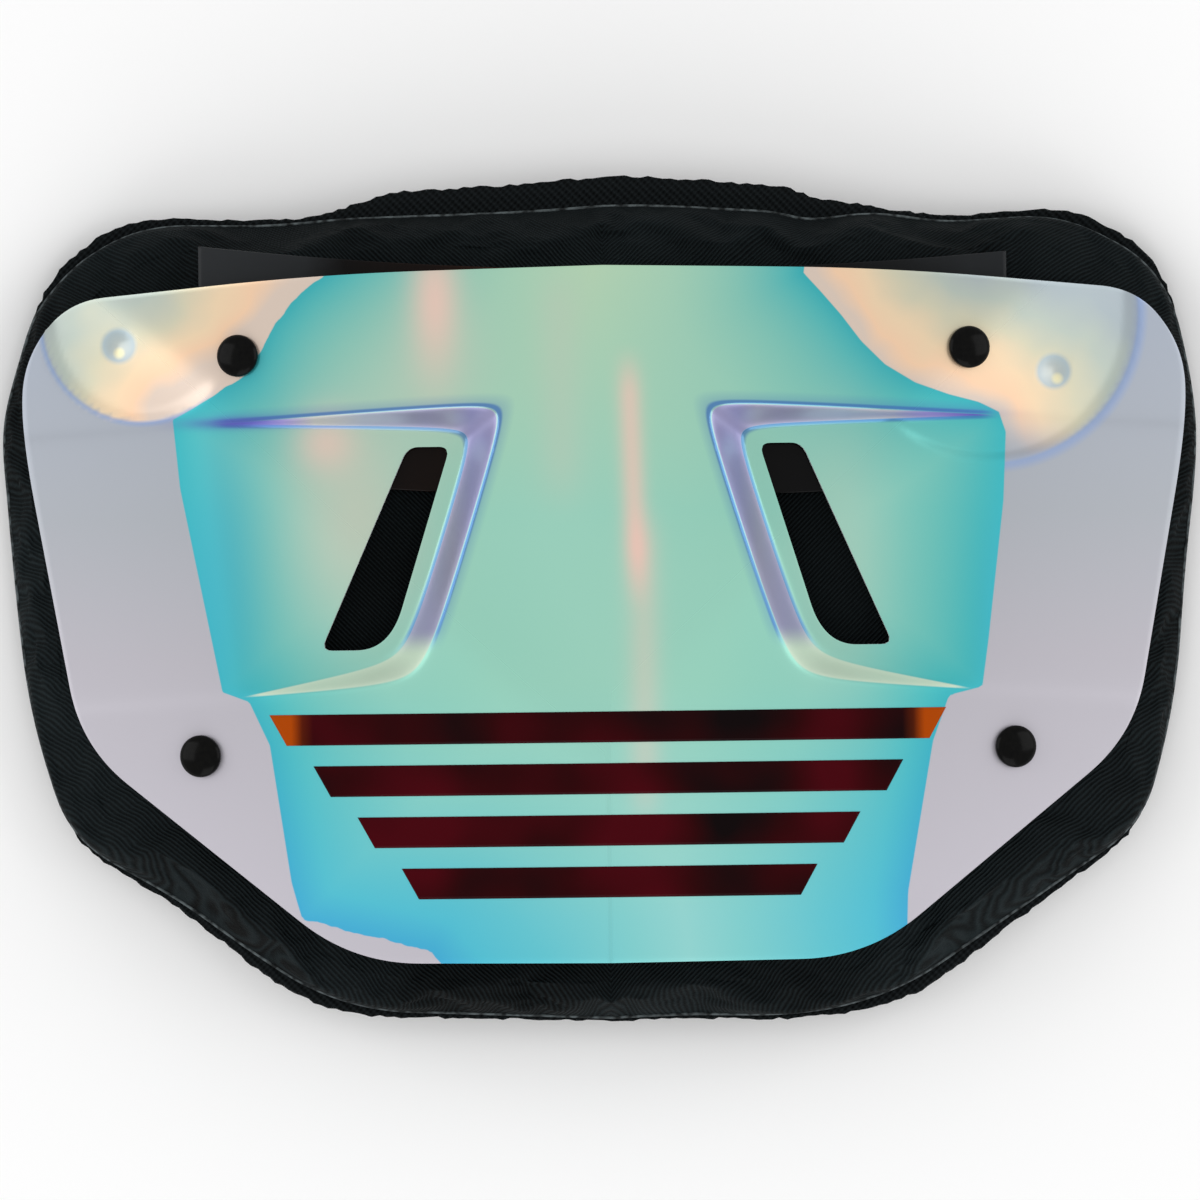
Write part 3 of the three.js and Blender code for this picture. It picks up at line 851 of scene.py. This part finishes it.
def outline_between(outline, start, end):
    """The stretch of a closed clockwise outline between the points nearest start and end."""
    i = int(np.argmin(np.hypot(*(outline - start).T)))
    j = int(np.argmin(np.hypot(*(outline - end).T)))
    turned = np.roll(outline, -i, axis=0)
    return turned[: (j - i) % len(outline) + 1]


def half_plate_patches():
    """Eight patches round the vent, for the right half of the plate."""
    edge = spaced(plate_outline, 8000)
    top_side, outer_side, bottom_side, inner_side = vent_sides(vent_outline())
    v_ti, v_to, v_bo, v_bi = top_side[0], top_side[-1], outer_side[-1], bottom_side[-1]

    def on_edge(x, y):
        """The point of the outline nearest a spot."""
        return edge[int(np.argmin(np.hypot(*(edge - (x, y)).T)))]

    t0, b0 = on_edge(0, 100), on_edge(0, -108)
    t0[0] = b0[0] = 0
    t1, t2, tr = on_edge(40, 99), on_edge(66, 98.5), on_edge(166.5, 83)
    r1, r2, br = on_edge(171, 40), on_edge(161, -19), on_edge(150, -47)
    b1, b2 = on_edge(50, -108), on_edge(78, -105)
    l1, l2 = np.array([0, 48.5]), np.array([0, -11.0])

    def line(a, b):
        """A straight side."""
        return np.array([a, b])

    # Shares of the patches' sides, packed where the scoop's walls stand
    u_a = packed_shares(56, 15.5, 45, 0.46)
    u_b = np.linspace(0, 1, 15)
    u_c = np.linspace(0, 1, 66)
    v_1 = 1 - packed_shares(48, 14, 53, 0.5)[::-1]
    v_2 = np.linspace(0, 1, 46)
    v_3 = packed_shares(58, 15, 94, 0.34)
    top = [outline_between(edge, a, b) for a, b in ((t0, t1), (t1, t2), (t2, tr))]
    right = [outline_between(edge, a, b)[::-1] for a, b in ((tr, r1), (r1, r2), (r2, br))]
    bottom = [outline_between(edge, a, b)[::-1] for a, b in ((b1, b0), (b2, b1), (br, b2))]
    return [
        coons(line(l1, v_ti), top[0], line(l1, t0), line(v_ti, t1), u_a, v_1),
        coons(top_side, top[1], line(v_ti, t1), line(v_to, t2), u_b, v_1),
        coons(line(v_to, r1), top[2], line(v_to, t2), right[0], u_c, v_1),
        coons(line(l2, v_bi), line(l1, v_ti), line(l2, l1), inner_side, u_a, v_2),
        coons(line(v_bo, r2), line(v_to, r1), outer_side[::-1], right[1], u_c, v_2),
        coons(bottom[0], line(l2, v_bi), line(b0, l2), line(b1, v_bi), u_a, v_3),
        coons(bottom[1], bottom_side[::-1], line(b1, v_bi), line(b2, v_bo), u_b, v_3),
        coons(bottom[2], line(v_bo, r2), line(b2, v_bo), right[2], u_c, v_3),
    ]


def plate_mesh():
    """Points, faces: the right half's patches and their mirror image."""
    points, faces, start = [], [], 0
    for side in (1, -1):
        for patch in half_plate_patches():
            rows, columns = patch.shape[:2]
            flat = patch.reshape(-1, 2) * (side, 1)
            quads = grid_faces(columns, rows) + start
            points.append(flat)
            faces.append(quads if side > 0 else quads[:, ::-1])
            start += len(flat)
    return np.concatenate(points), np.concatenate(faces)


# The edge between the film's two colours, clockwise from the top left
FIELD = np.array([
    (-64.5, 112), (-64.5, 200), (62, 200), (62, 112), (60, 97), (65, 91.5),
    (71, 84.5), (77, 76.5), (84, 69.5), (93, 64), (103, 60.4), (112, 58), (118, 55), (120, 49),
    (119, 28.5), (114, -13), (112, -27), (102, -29.4), (97, -43), (89, -88), (88, -120),
    (88, -220), (-40, -220), (-40, -120), (-53.5, -104),
    (-92, -94), (-95, -83), (-101, -42), (-107, -29), (-115, -26), (-127, 35), (-129, 55.6),
    (-123.5, 58.5), (-106, 69), (-98, 84), (-90, 93),
])


def signed_field(x, y):
    """Distance to the closed colour edge: positive inside it."""
    spot = np.stack([x, y], axis=-1)
    nearest = np.full(x.shape, np.inf)
    inside = np.zeros(x.shape, bool)
    for a, b in zip(FIELD, np.roll(FIELD, -1, axis=0)):
        along = b - a
        share = np.clip(((spot - a) @ along) / (along @ along), 0, 1)
        away = spot - a - share[..., None] * along
        nearest = np.minimum(nearest, np.hypot(away[..., 0], away[..., 1]))
        crosses = (a[1] > y) != (b[1] > y)
        with np.errstate(divide="ignore", invalid="ignore"):
            at = a[0] + (y - a[1]) / (b[1] - a[1]) * (b[0] - a[0])
        inside ^= crosses & (x < at)
    return np.where(inside, nearest, -nearest)


# Painted shade lines along the dishes' rims, 20 mm wide with the rim in the middle, and the
# dimples' rings, 10 mm from their middles
ARC_LINE = {
    -1: [(0.45, 0.0), (0.5, 0.6), (0.53, 0.35), (0.57, 0.0)],
    1: [(0.38, 0.0), (0.46, 0.15), (0.51, 0.6), (0.56, 0.5), (0.66, 0.0)],
}
DIMPLE_RING = [(0.0, 0.55), (0.3, 0.7), (0.45, 0.8), (0.52, 0.35), (0.6, 0.0)]


def distance_from(tree, x, y, middle):
    """The distance of a spot from an upright axis, in metres."""
    here = add(tree, "ShaderNodeCombineXYZ", {0: x, 1: y}).outputs[0]
    there = (middle[0] * MM, middle[1] * MM, 0)
    node = add(tree, "ShaderNodeVectorMath", {0: here, 1: there}, operation="DISTANCE")
    return node.outputs["Value"]


def iridescent_film():
    """Colour-shifting mirror film on polycarbonate: teal face on, pearl where it turns away."""
    material, tree, shader = new_material("iridescent_film")
    spot = object_spot(tree)
    x, y, _ = split(tree, spot)
    field = attribute(tree, "field")
    ragged = scaled(tree, noise(tree, spot, 130, 3), 2.0, -1.0)
    rough_edge = times(tree, ragged, attribute(tree, "ragged"))
    edge = math_of(tree, "ADD", field, rough_edge)

    # Teal: saturated at its edge, pale green further in, bluer towards the plate's bottom
    deep = times(tree, field, 1 / 100, clamp=True)
    upper = ramp(tree, deep, [
        (0, "#30b3bb"), (0.06, "#45bcbd"), (0.2, "#6cc6bd"), (0.4, "#8dd2c1"), (0.7, "#9bd8c3"),
        (1, "#a1dbc6"),
    ])
    lower = ramp(tree, deep, [
        (0, "#3caed8"), (0.1, "#4fc3d8"), (0.25, "#62cad6"), (0.5, "#83d5d4"), (0.7, "#9adcd7"),
    ])
    low = scaled(tree, y, -1 / 0.07, -0.35, clamp=True)
    teal = mix(tree, low, upper, lower)
    high = scaled(tree, y, 1 / 0.075, -0.35, clamp=True)
    high = times(tree, high, times(tree, deep, 1.6, clamp=True))
    teal = mix(tree, high, teal, "#bcdcbb")
    # Painted pale reflections: soft patches on the scoops' floors and an upright streak.
    teal = mix(tree, attribute(tree, "floor_glow"), teal, "#c6d2bf")
    # Painted pink highlights: reflections of lights painted into the teal.
    teal = mix(tree, attribute(tree, "rose"), teal, "#f4cfc0")
    teal = mix(tree, attribute(tree, "cool"), teal, "#3aaec8")

    # Pearl: grey-blue at the top, lavender lower down, and cream in the dished corners, turning to
    # a peach painted reflection next to the teal
    pearl_low = scaled(tree, y, -1 / 0.17, 0.5, clamp=True)
    pearl = ramp(tree, pearl_low, [
        (0, "#9fa7b4"), (0.35, "#a7abb2"), (0.6, "#b5b2ba"), (1, "#c5c1ca"),
    ])
    into = times(tree, field, -1 / 60, clamp=True)
    warmth = scaled(tree, noise(tree, spot, 38, 2), 0.4, -0.2)
    kept = scaled(tree, x, 4.0, 0.35, clamp=True)
    warmth = scaled(tree, kept, 0.14, math_of(tree, "ADD", warmth, -0.12))
    cream = ramp(tree, math_of(tree, "ADD", into, warmth), [
        (0, "#e0cdbe"), (0.1, "#fad3b0"), (0.22, "#f3d8b4"), (0.38, "#d4d0b6"), (0.54, "#b8c3b9"),
        (0.75, "#a8b4b9"), (1, "#a5afb8"),
    ])
    pearl = mix(tree, attribute(tree, "warm"), pearl, cream)
    for side, (cx, cy), radius, (dx, dy) in DISHES:
        rim = distance_from(tree, x, y, (cx, cy))
        # Painted shade: a blue line along the dish's rim, on its outer side.
        line = ramp(tree, scaled(tree, rim, 50, 0.5 - radius / 20), ARC_LINE[side])
        line = times(tree, line, attribute(tree, "arc"))
        pearl = mix(tree, line, pearl, "#7f9bcc")
        ring = distance_from(tree, x, y, (dx, dy))
        dimple = ramp(tree, times(tree, ring, 100), DIMPLE_RING)
        pearl = mix(tree, dimple, pearl, "#a3b9c6")
    inside = scaled(tree, edge, 3.0, 0.5, clamp=True)
    colour = mix(tree, inside, pearl, teal)

    # A painted yellow glint in the lower left of each dimple
    for side, _, _, (dx, dy) in DISHES:
        glint = distance_from(tree, x, y, (dx + side * 0.5 + 0.6, dy - 2.2))
        glint = ramp(tree, times(tree, glint, 200), [(0.0, 0.9), (0.2, 0.7), (0.42, 0.0)])
        colour = mix(tree, glint, colour, "#f6edbd")

    # Walls: lavender across, a pale mint painted highlight on the lower walls, between fine blue
    # lines of painted shade at the shoulder and foot
    shoulder = attribute(tree, "shoulder")
    foot = attribute(tree, "foot")
    share = times(tree, math_of(tree, "ABSOLUTE", x), 1 / 0.12)
    across = ramp(tree, share, [
        (0.24, "#9c98bc"), (0.33, "#9795c0"), (0.38, "#9e9bb4"), (0.44, "#9f9dbc"),
        (0.6, "#a2a8ba"), (0.72, "#b9b8b0"), (0.8, "#a797c2"), (0.92, "#6354b4"),
    ])
    # Painted highlight: the lower walls turn pale mint.
    wall = mix(tree, attribute(tree, "facing"), across, "#cfe1cc")
    under_shoulder = scaled(tree, shoulder, 2.5, 0.4, clamp=True)
    over_foot = scaled(tree, foot, -2.5, 0.5, clamp=True)
    near_scoop = attribute(tree, "lines")
    on_wall = times(tree, times(tree, under_shoulder, over_foot), near_scoop)
    colour = mix(tree, on_wall, colour, wall)
    hard = times(tree, math_of(tree, "SUBTRACT", 1.0, attribute(tree, "facing")), near_scoop)
    # Painted shade: a soft blue line just outside each wall's shoulder.
    glow = ramp(tree, scaled(tree, shoulder, 0.1, 0.5), [
        (0.1, 0.0), (0.36, 0.35), (0.41, 1.0), (0.47, 1.0), (0.5, 0.0),
    ])
    colour = mix(tree, times(tree, glow, times(tree, hard, 0.85)), colour, "#3a72b8")
    # Painted shade: a dark blue line in the crease just past each wall's foot.
    line = ramp(tree, scaled(tree, foot, 0.1, 0.5), [
        (0.485, 0.0), (0.5, 1.0), (0.555, 0.9), (0.62, 0.0),
    ])
    in_scoop = scaled(tree, shoulder, 2.0, 0.0, clamp=True)
    line = times(tree, times(tree, line, in_scoop), hard)
    colour = mix(tree, times(tree, line, 0.8), colour, "#2f6db0")
    colour = mix(tree, attribute(tree, "tip"), colour, "#5459b4")
    put(tree, shader, "Base Color", colour)
    dull = scaled(tree, attribute(tree, "arc"), 0.24, 0.17)
    put(tree, shader, "Roughness", scaled(tree, on_wall, 0.2, dull))
    shader.inputs["Metallic"].default_value = 0.5
    shader.inputs["Coat Weight"].default_value = 0.2
    shader.inputs["Coat Roughness"].default_value = 0.09
    return material


def polished_edge():
    """The sheet's cut and polished edge: pale and bright."""
    material, tree, shader = new_material("polished_polycarbonate_edge")
    haze = noise(tree, object_spot(tree), 90, 2)
    put(tree, shader, "Base Color", ramp(tree, haze, [(0.3, "#e4ecee"), (0.7, "#fbfdfd")]))
    shader.inputs["Roughness"].default_value = 0.2
    return material


def streak(x, y, middle, width, low, high, lean=0.0):
    """A soft upright streak between two heights."""
    across = np.exp(-(((x - middle - lean * (high - y)) / width) ** 2))
    return across * smooth_share(y, low - 14, low + 10) * (1 - smooth_share(y, high - 6, high + 12))


flat, quads = plate_mesh()
px, py = flat.T
left, right = px < 0, px > 0
shoulder = scoop_inside(px, py)
lines = 1 - smooth_share(np.abs(px) - outer_edge(py), -7, 0)
foot = shoulder - scoop_floor(px, py) * WALL_RUN / SCOOP_DEPTH
upper_side = SCOOP_TOP - EDGE_FALL * (np.abs(px) - SCOOP_INNER)
# The lower walls, which carry a pale mint painted highlight and no painted shade lines.
facing = smooth_share(upper_side - py, SCOOP_HEIGHT - 17, SCOOP_HEIGHT - 9)
field = signed_field(px, py)
warm, arc = np.zeros_like(px), np.zeros_like(px)
for side, (cx, cy), radius, _ in DISHES:
    inside = radius - np.hypot(px - cx, py - cy)
    warm += smooth_share(inside, -0.2, 1.2) * (px * side > 0)
    outward = side * (px - cx) - (py - cy) * 1.1
    arc += smooth_share(outward, -0.2 * radius, 0.7 * radius) * (px * side > 0)
above_left = smooth_share(py - 56.5 - (px + 134) * 0.22, -0.8, 0.8) * (px > -137)
above_right = smooth_share(py + 0.9 * (px - 70), 62, 84) * (px < 115)
fading = smooth_share(py + 0.3 * (px - 120), 42, 60)
warm = np.where(left, np.maximum(warm, above_left), warm)
warm = np.where(right, np.maximum(warm, above_right) * fading, warm)
# Painted pink highlights: soft spots and upright streaks where lights would reflect in the film.
rose = np.clip(
    bell(px, py, (-50, 90), (7, 20)) * 0.9 + bell(px, py, (-83, 48), (9, 9)) * 0.7
    + streak(px, py, 7.5, 3.6, 8, 66, 0.03) * 0.75 + streak(px, py, 11, 5, -60, 20) * 0.35, 0, 1,
)
# Painted pale reflections: soft patches on the scoops' floors and an upright pale streak.
glow = np.clip(
    bell(px, py, (-74, 26), (20, 34)) * 0.95 + bell(px, py, (70, 12), (14, 40)) * 0.35
    + bell(px, py, (-50, 72), (16, 22)) * 0.55 + streak(px, py, -13, 7, 35, 92) * 0.4, 0, 1,
)
cool = bell(px, py, (-116, 5), (13, 50)) * 0.55 + bell(px, py, (118, -6), (9, 34)) * 0.4
# Deep violet gathers where the scoops run out into thin tips
tip = bell(px, py, (-109, 54.4), (15, 1.7)) * 0.95 + bell(px, py, (92, 54.6), (20, 1.2)) * 0.55
shell = make_piece(
    "shell_film", np.column_stack([flat, plate_top(px, py)]), [quads], iridescent_film()
)
shell.data.materials.append(polished_edge())
store(
    shell, field=field, shoulder=shoulder, foot=foot, facing=facing, warm=np.clip(warm, 0, 1),
    arc=np.clip(arc, 0, 1), lines=lines, rose=rose, floor_glow=glow, cool=np.clip(cool, 0, 1),
    tip=np.clip(tip, 0, 1),
    ragged=np.clip(smooth_share(py, 58, 66) + smooth_share(-py, 88, 94) * 1.5, 0, 1.5) * left,
)
weld = shell.modifiers.new("weld", "WELD")
weld.merge_threshold = WELD_REACH * MM
solidify(shell, PLATE_WALL, rim_slot=1, bevel=0.6)
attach(shell, "root")
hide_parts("shell")


# ---------------------------------------------------------------- stripes
# Four bars of dark red vinyl, cut with slanted ends and pressed onto the lower part of the
# plate. The vinyl is a thin gloss film that turns orange towards its ends.
STRIPE_WALL = 0.12
STRIPE_HEIGHT = 9.2
STRIPE_PITCH = 15.4
STRIPE_TOP = -33
STRIPE_HALVES = (101, 88, 75, 62)
STRIPE_SLANT = 0.55
STRIPE_CELLS = (180, 10)


def stripe_grid(half, top, columns, rows):
    """A bar on the plate's face: its ends slant inwards by a share of its height."""
    u, v = np.meshgrid(np.linspace(-1, 1, columns), np.linspace(0, 1, rows))
    y = top - STRIPE_HEIGHT * (1 - v)
    x = u * (half - STRIPE_SLANT * STRIPE_HEIGHT * (1 - v))
    return np.stack([x, y, plate_top(x, y) + STRIPE_WALL], axis=-1)


def stripe_vinyl():
    """Gloss vinyl: dark red in the middle, orange where it turns away, with darker clouds."""
    material, tree, shader = new_material("dark_red_gloss_vinyl")
    spot = object_spot(tree)
    x = split(tree, spot)[0]
    cloud = noise(tree, spot, 26, 1.5)
    body = ramp(tree, cloud, [(0.35, "#0d0506"), (0.5, "#2c0205"), (0.68, "#43020b")])
    share = times(tree, math_of(tree, "ABSOLUTE", x), 1 / 0.11)
    ends = ramp(tree, share, [(0.8, 0.0), (0.83, 0.15), (0.86, 1.0)])
    put(tree, shader, "Base Color", mix(tree, ends, body, "#a84404"))
    shader.inputs["Roughness"].default_value = 0.12
    shader.inputs["Specular IOR Level"].default_value = 0.05
    return material


stripe_points, stripe_quads, start = [], [], 0
for i, half in enumerate(STRIPE_HALVES):
    grid = stripe_grid(half, STRIPE_TOP - i * STRIPE_PITCH, *STRIPE_CELLS)
    stripe_points.append(grid.reshape(-1, 3))
    stripe_quads.append(grid_faces(*STRIPE_CELLS) + start)
    start += grid.shape[0] * grid.shape[1]
stripes = make_piece("shell_stripes", np.concatenate(stripe_points), stripe_quads, stripe_vinyl())
solidify(stripes, STRIPE_WALL * 0.8)
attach(stripes, "root")


# ---------------------------------------------------------------- studs
# Four black nylon rivets with domed caps hold the plate, and the upper two the band, to the
# cushion. Each stands square to the crown.
CAP_RADIUS = 6.3
CAP_HEIGHT = 3.4
CAP_RIM = 1.1
CAP_LIFT = 0.3
STEM_RADIUS = 2.4
STEM_LENGTH = 16.5
STUD_SIDES = 48
STUDS = {
    "upper_left": (-109, 74.4), "upper_right": (109, 74.4),
    "lower_left": (-121.5, -45), "lower_right": (121.5, -45),
}


def moulded_nylon():
    """Moulded black nylon with a low gloss."""
    material, tree, shader = new_material("moulded_black_nylon")
    grain = noise(tree, object_spot(tree), 700, 3)
    put(tree, shader, "Base Color", ramp(tree, grain, [(0.3, "#040404"), (0.7, "#090908")]))
    set_bump(tree, shader, grain, 0.1, 0.0001)
    shader.inputs["Roughness"].default_value = 0.18
    shader.inputs["Specular IOR Level"].default_value = 0.08
    return material


def stud_profile():
    """Radius and height from the stem's end up its side, round the cap's rim and over the dome."""
    angle = np.linspace(0, math.pi / 2, 14)[:-1]
    dome = np.stack([
        CAP_RADIUS * np.cos(angle),
        CAP_RIM + (CAP_HEIGHT - CAP_RIM) * np.sin(angle),
    ], axis=1)
    foot = [(STEM_RADIUS, -STEM_LENGTH), (STEM_RADIUS, -0.1), (STEM_RADIUS + 0.2, 0),
            (CAP_RADIUS - 0.4, 0), (CAP_RADIUS - 0.1, 0.12), (CAP_RADIUS, 0.4)]
    return np.vstack([foot, dome])


def lathe(profile, around):
    """Rings of a profile turned about its axis."""
    turn = np.linspace(0, 2 * math.pi, around, endpoint=False)
    r, z = profile[:, 0][:, None], profile[:, 1][:, None]
    return np.stack([r * np.cos(turn), r * np.sin(turn), z + 0 * turn], axis=-1)


nylon = moulded_nylon()
for place, (x, y) in STUDS.items():
    slope = [
        (crown_drop(x - a, y - b) - crown_drop(x + a, y + b)) / (2 * CAP_RADIUS)
        for a, b in ((CAP_RADIUS, 0), (0, CAP_RADIUS))
    ]
    normal = Vector((-slope[0], -slope[1], 1)).normalized()
    turn = np.array(Vector((0, 0, 1)).rotation_difference(normal).to_matrix())
    foot = np.array([x, y, PEAK - crown_drop(x, y)])
    rings = lathe(stud_profile(), STUD_SIDES) @ turn.T + foot + np.array(normal) * CAP_LIFT
    points, faces = closed_rings(rings, True)
    stud = make_piece(f"stud_{place}_cap", points, faces, nylon)
    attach(stud, "root")
    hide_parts(f"stud_{place}")


# ---------------------------------------------------------------- floor, light and sky
# A plain white studio: a pale floor, a soft light at each side and in front, and a pale sky.
# The lights' places and size are in metres.
FLOOR_HALF = 4000
SOFTBOX_SIZE = 2.4

floor_corners = np.array([(-1, -1, 0), (1, -1, 0), (1, 1, 0), (-1, 1, 0)]) * FLOOR_HALF
floor = make_piece("floor", floor_corners, [np.array([[0, 1, 2, 3]])], None)
floor_material, tree, shader = new_material("white_floor")
shader.inputs["Base Color"].default_value = linear("#fbfbfb")
shader.inputs["Roughness"].default_value = 0.9
shader.inputs["Specular IOR Level"].default_value = 0.1
floor.data.materials.append(floor_material)


def soft_light(name, place, power):
    """A square softbox that faces the object."""
    data = bpy.data.lights.new(name, "AREA")
    data.shape = "SQUARE"
    data.size = SOFTBOX_SIZE
    data.energy = power
    light = bpy.data.objects.new(name, data)
    light.location = place
    light.rotation_euler = Vector(place).to_track_quat("Z", "Y").to_euler()
    bpy.context.scene.collection.objects.link(light)


world = bpy.data.worlds.new("pale_sky")
bpy.context.scene.world = world
world.use_nodes = True
sky = next(n for n in world.node_tree.nodes if n.type == "BACKGROUND")
sky.inputs["Color"].default_value = (1, 1, 1, 1)
sky.inputs["Strength"].default_value = 0.7
soft_light("left_softbox", (-2.6, 0.6, 1.4), 26)
soft_light("right_softbox", (2.6, 0.6, 1.4), 26)
soft_light("front_softbox", (0, -2.6, 1.6), 24)
bpy.context.scene.view_settings.view_transform = "Standard"
